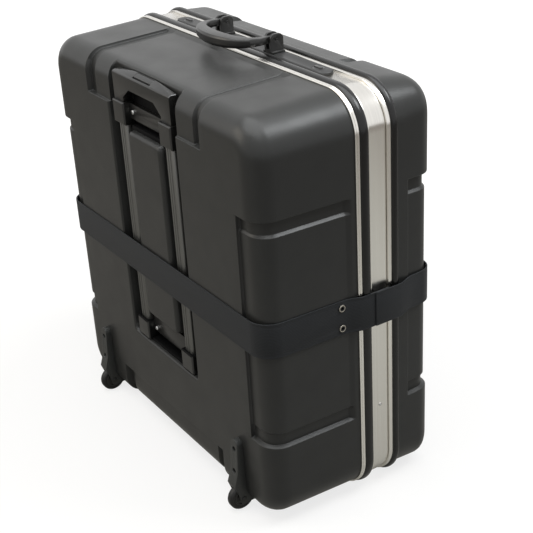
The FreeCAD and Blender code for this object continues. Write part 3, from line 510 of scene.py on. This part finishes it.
# Bumper strips: black extruded PVC, crowned and slightly glossy, pressed into the frames all round, where
# they take the knocks and carry the case when it lies or stands.
crown_height = 3.6
crown_sink = 0.6
crown_points = 11
bumper_plastic = moulded_plastic("bumper_pvc", (0.006, 0.006, 0.006), roughness=0.25, specular=0.42,
                                 grain=0.003, relief=0.00003)


def crowned_section(seat, start, end):
    """Half an oval on a flat foot, from start to end, whose foot lies at the level of the seat."""
    middle = (start + end) / 2
    half = (end - start) / 2
    crown = [(crown_height * math.cos(a) - crown_sink, middle + half * math.sin(a))
             for a in np.linspace(-math.pi / 2, math.pi / 2, crown_points)]
    return tuple(crown) + ((seat, end), (seat, start))


for name, body, node, section in (
        ("base_bumper_strip", "base", "base_bumper", crowned_section(seat=-4, start=28.65, end=43.65)),
        ("lid_bumper_strip", "lid", "lid_bumper", crowned_section(seat=-1.3, start=85.05, end=96.75))):
    strip = bent_section(name, section)
    strip.data.materials.append(bumper_plastic)
    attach(strip, body)
    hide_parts(node)

# Steel under the seam: hinge leaves with rolled knuckles and their pins, the hooks and catches of the locks,
# and the small rivet that closes the joint of the base frame. All of it is zinc plated.
even_grain = (160, 160, 160)
steel_plate = brushed_metal("plated_steel", (0.5, 0.5, 0.5), roughness=0.32, streaks=even_grain)


def finished_copy(node, body, finish, edge, segments=2):
    """The CAD piece with its triangles joined, its edges broken and its own finish."""
    piece = bpy.data.objects.new(node + "_finished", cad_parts[node].data.copy())
    bpy.context.collection.objects.link(piece)
    select_only(piece)
    bpy.ops.object.mode_set(mode="EDIT")
    bpy.ops.mesh.select_all(action="SELECT")
    bpy.ops.mesh.remove_doubles(threshold=0.000005)
    bpy.ops.mesh.dissolve_limited(angle_limit=math.radians(0.6))
    bpy.ops.object.mode_set(mode="OBJECT")
    round_edges(piece, edge, segments, angle=28)
    piece.data.materials.clear()
    piece.data.materials.append(finish)
    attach(piece, body)
    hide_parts(node)
    return piece


for node, body, edge in (
        ("hinge_base_leaves", "base", 0.2), ("hinge_lid_leaves", "lid", 0.2), ("hinge_pins", "base", 0.2),
        ("lock_hook_left", "lock_left", 0.3), ("lock_hook_right", "lock_right", 0.3),
        ("lock_strikes", "lid", 0.3), ("frame_joint_rivet", "base", 0.3)):
    finished_copy(node, body, steel_plate, edge)

# Fixed trolley tubes and their brackets: dark anodised aluminium tubes with two flutes, held in black nylon
# blocks whose bridges are screwed to the floor of the pocket. A nylon plate carries the lower bridge up to
# the panel. Thin near-black sheets on the pocket's floor at both bridges, and the near-black tops of the
# lower bracket, are painted shade where the pocket lies in shade.
bridge_low = 188.0
bridge_high = 213.0
bridge_raise = 10.0
bridge_half_width = 57.5
bridge_front = -132
bridge_edge = (bridge_low - 0.5, bridge_low + 1)
screw_raise = 5.0
screw_seat_reach = 52
screw_seats = (bridge_low + 1, bridge_high - 1)
painted_shade_above = bridge_high + 2
painted_shade_slope = 0.3
plate_half_width = 56.9
plate_front = -131.6
plate_low = 198
plate_high = 231
# Painted shade: thin near-black sheets on the pocket's floor and on the panel's top wall, where the pocket
# lies in shade.
shade_sheet_front = -124
shade_sheet_back = -123.2
top_shade_sheet = (570, 646)
top_sill_half_width = 50
top_sill_front = -135
top_sill = (568, 578)
bottom_shade_sheet = (182, 234)
bottom_sill_front = -139
bottom_sill = (180, 186)
tube_metal = brushed_metal("dark_anodised", (0.165, 0.165, 0.158), roughness=0.45, streaks=(500, 500, 0.4))
bright_zinc = brushed_metal("bright_zinc", (0.88, 0.89, 0.88), roughness=0.4, streaks=even_grain)
fitting_plastic = moulded_plastic("black_nylon", (0.011, 0.011, 0.0105), roughness=0.3, specular=0.6,
                                  grain=0.0012, relief=0.00005)
# Near-black matte finish that paints shade into the pocket.
painted_shade_black = moulded_plastic("painted_shade_black", (0.002, 0.002, 0.0022), roughness=0.6, specular=0.08,
                              grain=0.0012, relief=0.00003)
finished_copy("outer_tubes", "base", tube_metal, edge=0.25)
finished_copy("top_bracket", "base", fitting_plastic, edge=0.8, segments=3)
bottom_bracket = finished_copy("bottom_bracket", "base", fitting_plastic, edge=0.4,
                               segments=3)
for vertex in bottom_bracket.data.vertices:
    x, y, z = vertex.co / mm
    if abs(x) < bridge_half_width and y > bridge_front and bridge_edge[0] < z < bridge_edge[1]:
        vertex.co.z += bridge_raise * mm
    elif abs(x) < screw_seat_reach and screw_seats[0] < z < screw_seats[1]:
        vertex.co.z += screw_raise * mm
# Painted shade: the upward faces on top of the lower bracket take the near-black finish, so they read as
# shaded.
bottom_bracket.data.materials.append(painted_shade_black)
for face in bottom_bracket.data.polygons:
    if face.normal.z > painted_shade_slope and face.center.z > painted_shade_above * mm:
        face.material_index = 1
bracket_screws = finished_copy("bracket_screws", "base", bright_zinc, edge=1.6, segments=4)
for vertex in bracket_screws.data.vertices:
    if vertex.co.z < ring_middle * mm:
        vertex.co.z += screw_raise * mm


def joined_piece(made, name):
    """Join what was made into one piece, with its place in its mesh."""
    for part in made:
        part.select_set(True)
    bpy.ops.object.join()
    piece = bpy.context.object
    piece.name = name
    bpy.ops.object.transform_apply(location=True, rotation=True, scale=True)
    return piece


def joined_blocks(name, blocks, edge, finish):
    """Blocks in the pocket, given by half width, front, back and levels, as one piece with broken edges."""
    made = []
    for half_width, front, back, (low, high) in blocks:
        bpy.ops.mesh.primitive_cube_add(
            size=1, location=(0, (front + back) / 2 * mm, (low + high) / 2 * mm),
            scale=(2 * half_width * mm, (back - front) * mm, (high - low) * mm))
        made.append(bpy.context.object)
    piece = joined_piece(made, name)
    round_edges(piece, edge, segments=2, angle=30)
    piece.data.materials.append(finish)
    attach(piece, "base")


joined_blocks("bottom_bracket_plate", (
    (plate_half_width, plate_front, shade_sheet_front, (plate_low, plate_high)),),
    edge=0.6, finish=fitting_plastic)
# Painted shade: near-black sheets at both bridges and on the panel's top wall.
joined_blocks("bracket_painted_shade_sheets", (
    (plate_half_width, shade_sheet_front, shade_sheet_back, top_shade_sheet),
    (top_sill_half_width, top_sill_front, shade_sheet_back, top_sill),
    (plate_half_width, shade_sheet_front, shade_sheet_back, bottom_shade_sheet),
    (plate_half_width, bottom_sill_front, shade_sheet_back, bottom_sill)),
    edge=0.3, finish=painted_shade_black)

# Sliding part of the trolley: inner tubes, the black nylon grip that joins them, the release button in the
# back half of its top, and the rods that run down the tubes.
button_plastic = moulded_plastic("button_nylon", (0.03, 0.03, 0.03), roughness=0.36, specular=0.5,
                                 grain=0.0012, relief=0.00004)
finished_copy("inner_tubes", "trolley", tube_metal, edge=0.2)
finished_copy("trolley_grip", "trolley", fitting_plastic, edge=0.7, segments=3)
finished_copy("grip_button", "release", button_plastic, edge=0.4)
finished_copy("release_rods", "release", steel_plate, edge=0.2)

# Wheels: hard rubber tyres on nylon hubs, on steel axles with blackened ends in moulded forks, each fork held
# to the base by two sunken black screws.
axle_end = 11.2
fork_plastic = moulded_plastic("fork_nylon", (0.04, 0.042, 0.04), roughness=0.45, specular=0.45,
                               grain=0.0024, relief=0.0003)
tyre_rubber = moulded_plastic("tyre_rubber", (0.008, 0.008, 0.008), roughness=0.45, specular=0.4,
                              grain=0.0016, relief=0.00006)
screw_black = moulded_plastic("blackened_screws", (0.01, 0.01, 0.01), roughness=0.35, specular=0.5,
                              grain=0.002, relief=0.00002)
sunken_screws = moulded_plastic("sunken_screws", (0.003, 0.003, 0.003), roughness=0.6, specular=0.1,
                                grain=0.002, relief=0.00002)
for side in ("left", "right"):
    finished_copy("wheel_fork_" + side, "base", fork_plastic, edge=1.0, segments=3)
    axle = finished_copy("axle_" + side, "base", steel_plate, edge=0.4)
    axle.data.materials.append(screw_black)
    for face in axle.data.polygons:
        if abs(abs(face.center.x) - wheel_station * mm) > axle_end * mm:
            face.material_index = 1
    finished_copy("wheel_hub_" + side, "wheel_" + side, fitting_plastic, edge=0.4)
    finished_copy("tyre_" + side, "wheel_" + side, tyre_rubber, edge=1.0, segments=3)
finished_copy("fork_screws", "base", sunken_screws, edge=0.4)

# Top fittings: a long dark plate on the channel with a turning lock near each end, and the carry handle, a
# black nylon bow on two forked posts with blackened steel pins.
plate_plastic = moulded_plastic("plate_nylon", (0.02, 0.02, 0.02), roughness=0.45, specular=0.45,
                                grain=0.0012, relief=0.00005)
lock_metal = moulded_plastic("lock_black", (0.024, 0.024, 0.024), roughness=0.32, specular=0.5,
                             grain=0.002, relief=0.00003)
finished_copy("lock_plate", "base", plate_plastic, edge=0.5)
for side in ("left", "right"):
    finished_copy("lock_disc_" + side, "lock_" + side, lock_metal, edge=0.4)
finished_copy("handle_posts", "base", fitting_plastic, edge=0.9, segments=3)
finished_copy("handle_pins", "base", screw_black, edge=0.3)
finished_copy("handle_bow", "carry_handle", fitting_plastic, edge=1.2, segments=3)

# Strap: flat black webbing, woven with fine ribs and a shallow line along each selvedge, riveted to both
# sides of the base with hollow rivets in rolled steel rims. A second length on the lid laps over the first.
selvedge_line = 24.4
selvedge_width = 1
selvedge_dip = 0.3
on_line = 0.05
rim_out = 324.25
rim_station = -8.35
rim_levels = (325.5, 359.5)
rim_radius = 4.85
rim_thickness = 0.95
thread_dark = (0.011, 0.012, 0.0135)
thread_light = (0.03, 0.033, 0.037)
webbing, tree, shader, place = new_finish("woven_webbing")
axes = add_node(tree, "SeparateXYZ", {"Vector": place}).outputs
along = add_node(tree, "Math", {0: axes["X"], 1: axes["Y"]}, operation="ADD")
flat = add_node(tree, "CombineXYZ", {"X": along.outputs["Value"], "Y": axes["Z"]}).outputs["Vector"]
picks = add_node(tree, "TexWave", {
    "Scale": 180, "Distortion": 1.2, "Detail": 2, "Vector": flat}, bands_direction="X")
ends = add_node(tree, "TexWave", {"Scale": 130, "Distortion": 0.8, "Vector": flat}, bands_direction="Y")
weave = add_node(tree, "Math", {
    0: picks.outputs["Fac"], 1: ends.outputs["Fac"]}, operation="MULTIPLY").outputs["Value"]
bump = add_node(tree, "Bump", {"Strength": 0.6, "Distance": 0.0003, "Height": weave})
set_inputs(tree, shader, {
    "Base Color": colour_ramp(tree, weave, (0, thread_dark), (1, thread_light)), "Roughness": 0.62,
    "Specular IOR Level": 0.25, "Sheen Weight": 0.06, "Normal": bump.outputs["Normal"]})
for node, body in (("strap_base", "base"), ("strap_lid", "lid")):
    strap = finished_copy(node, body, webbing, edge=0.7, segments=3)
    bpy.ops.object.mode_set(mode="EDIT")
    for line in (selvedge_line - selvedge_width, selvedge_line, selvedge_line + selvedge_width):
        for sign in (-1, 1):
            bpy.ops.mesh.select_all(action="SELECT")
            bpy.ops.mesh.bisect(plane_co=(0, 0, (ring_middle + sign * line) * mm), plane_no=(0, 0, 1))
    bpy.ops.object.mode_set(mode="OBJECT")
    dips = [vertex for vertex in strap.data.vertices
            if abs(abs(vertex.co.z / mm - ring_middle) - selvedge_line) < on_line]
    for vertex, way in [(vertex, vertex.normal.copy()) for vertex in dips]:
        vertex.co -= way * selvedge_dip * mm
finished_copy("strap_rivets", "base", screw_black, edge=0.5)
rim_steel = brushed_metal("rolled_steel", (0.46, 0.43, 0.37), roughness=0.34, streaks=even_grain)
rims = []
for side in (-1, 1):
    for level in rim_levels:
        bpy.ops.mesh.primitive_torus_add(
            location=(side * rim_out * mm, rim_station * mm, level * mm), rotation=(0, math.pi / 2, 0),
            major_segments=40, minor_segments=12, major_radius=rim_radius * mm,
            minor_radius=rim_thickness * mm)
        rims.append(bpy.context.object)
rivet_rims = joined_piece(rims, "strap_rivet_rims")
bpy.ops.object.shade_smooth()
rivet_rims.data.materials.append(rim_steel)
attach(rivet_rims, "base")

# Floor and painted room: a plain pale sweep that the camera sees as white, a little darker near the case, and
# that glows in mirrors as a painted reflection of a dim room, brightest to the right of the case. The world
# is white to the camera and in mirrors, and gives the case a little light from all round.
floor_colour = (0.24, 0.235, 0.225, 1)
painted_room_left = (0.15, 0.14, 0.12)
painted_room_near = (0.31, 0.307, 0.28)
painted_room_right = (0.16, 0.14, 0.12)
near_glow = 0.78
far_glow = 1.0
world_light = 0.17
white = (1, 1, 1, 1)
bpy.ops.object.select_all(action="DESELECT")
bpy.ops.mesh.primitive_plane_add(size=12)
floor = bpy.context.object
floor.name = "floor"
pale, tree, shader, place = new_finish("pale_floor")
rays = add_node(tree, "LightPath", {}).outputs
mirrored = add_node(tree, "Math", {
    0: rays["Is Glossy Ray"], 1: rays["Is Transmission Ray"]}, operation="MAXIMUM").outputs["Value"]
sides = add_node(tree, "SeparateXYZ", {"Vector": place})
from_left = add_node(tree, "MapRange", {"Value": sides.outputs["X"], "From Min": -1.0, "From Max": 2.0})
# Painted reflection: glossy and transmission rays see the floor glowing in these dim room colours.
painted_room = colour_ramp(tree, from_left.outputs["Result"], (0.2, painted_room_left), (0.6, painted_room_near), (0.85, painted_room_right))
tint = add_node(tree, "Mix", {"Factor": mirrored, "A": white, "B": painted_room}, data_type="RGBA")
apart = add_node(tree, "VectorMath", {0: place}, operation="LENGTH")
sweep = add_node(tree, "MapRange", {
    "Value": apart.outputs["Value"], "From Min": 0.5, "From Max": 1.5,
    "To Min": near_glow, "To Max": far_glow})
glow = add_node(tree, "Math", {
    0: rays["Is Camera Ray"], 1: sweep.outputs["Result"], 2: mirrored}, operation="MULTIPLY_ADD")
set_inputs(tree, shader, {
    "Base Color": floor_colour, "Roughness": 0.9, "Specular IOR Level": 0.1,
    "Emission Color": tint.outputs["Result"], "Emission Strength": glow.outputs["Value"]})
floor.data.materials.append(pale)
world = bpy.data.worlds.new("studio")
bpy.context.scene.world = world
world.use_nodes = True
tree = world.node_tree
rays = add_node(tree, "LightPath", {}).outputs
seen = add_node(tree, "Math", {
    0: rays["Is Camera Ray"], 1: rays["Is Transmission Ray"]}, operation="MAXIMUM")
shown = add_node(tree, "Math", {
    0: seen.outputs["Value"], 1: rays["Is Glossy Ray"]}, operation="MAXIMUM")
strength = add_node(tree, "MapRange", {
    "Value": shown.outputs["Value"], "To Min": world_light, "To Max": 1.0})
set_inputs(tree, tree.nodes["Background"], {"Color": white, "Strength": strength.outputs["Result"]})

# Lights and camera: a wide soft light from above, warmer light from the front left, a cool one from behind,
# and the camera at the photograph's view, tilted a little.
camera_spot = (1.52761, -0.89891, 1.19162)
azimuth = math.radians(57.64)
elevation = math.radians(26.81)
roll = math.radians(-3.5)


def soft_light(name, spot, aim, size, power, colour):
    """A rectangular area light at a spot, turned to the point that it aims at."""
    lamp = bpy.data.lights.new(name, "AREA")
    lamp.shape = "RECTANGLE"
    lamp.size, lamp.size_y = size
    lamp.energy = power
    lamp.color = colour
    light = bpy.data.objects.new(name, lamp)
    light.location = spot
    light.rotation_euler = (Vector(aim) - Vector(spot)).to_track_quat("-Z", "Y").to_euler()
    bpy.context.collection.objects.link(light)


soft_light("overhead", spot=(0.2, -0.3, 2.6), aim=(0, 0, 0.4), size=(2.4, 2.4), power=57,
           colour=(0.97, 0.99, 1))
soft_light("front", spot=(-1.2, -2.4, 1.8), aim=(0, 0, 0.33), size=(1.6, 1.6), power=20,
           colour=(1, 0.91, 0.77))
soft_light("behind", spot=(1.25, 1.2, 2.6), aim=(0.1, 0, 0.5), size=(1.1, 0.9), power=34,
           colour=(0.95, 0.98, 1))
camera = bpy.data.cameras.new("camera")
camera.lens = 77.87
camera.sensor_width = 36
view = bpy.data.objects.new("camera", camera)
bpy.context.collection.objects.link(view)
bpy.context.scene.camera = view
back = Vector((math.sin(azimuth) * math.cos(elevation), -math.cos(azimuth) * math.cos(elevation),
               math.sin(elevation)))
right = Vector((math.cos(azimuth), math.sin(azimuth), 0))
up = back.cross(right)
tilted_right = right * math.cos(roll) + up * math.sin(roll)
tilted_up = up * math.cos(roll) - right * math.sin(roll)
turned = Matrix((tilted_right, tilted_up, back)).transposed().to_4x4()
view.matrix_world = Matrix.Translation(camera_spot) @ turned
bpy.context.scene.view_settings.view_transform = "Standard"
